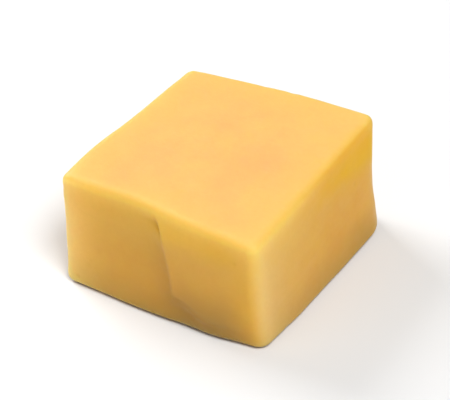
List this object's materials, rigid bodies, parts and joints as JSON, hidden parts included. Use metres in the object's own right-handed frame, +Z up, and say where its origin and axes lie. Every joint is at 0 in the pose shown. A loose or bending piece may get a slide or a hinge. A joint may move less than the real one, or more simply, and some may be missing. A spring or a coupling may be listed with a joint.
{
  "type": "fudge cube",
  "caption": "Hand-cut cube of plain caramel fudge: a low square block with slightly rounded edges, leaning knife-cut sides and a crease in its front.",
  "frame": {"origin": "middle of the block's footprint, on its flat base", "axes": "+Z up through the slab's thickness, X along the creased front, which faces -Y"},
  "size_m": [0.0228, 0.0236, 0.0116],
  "materials": {
    "fudge": null
  },
  "bodies": {
    "root": {"fudge_cube": "fudge"}
  },
  "joints": []
}
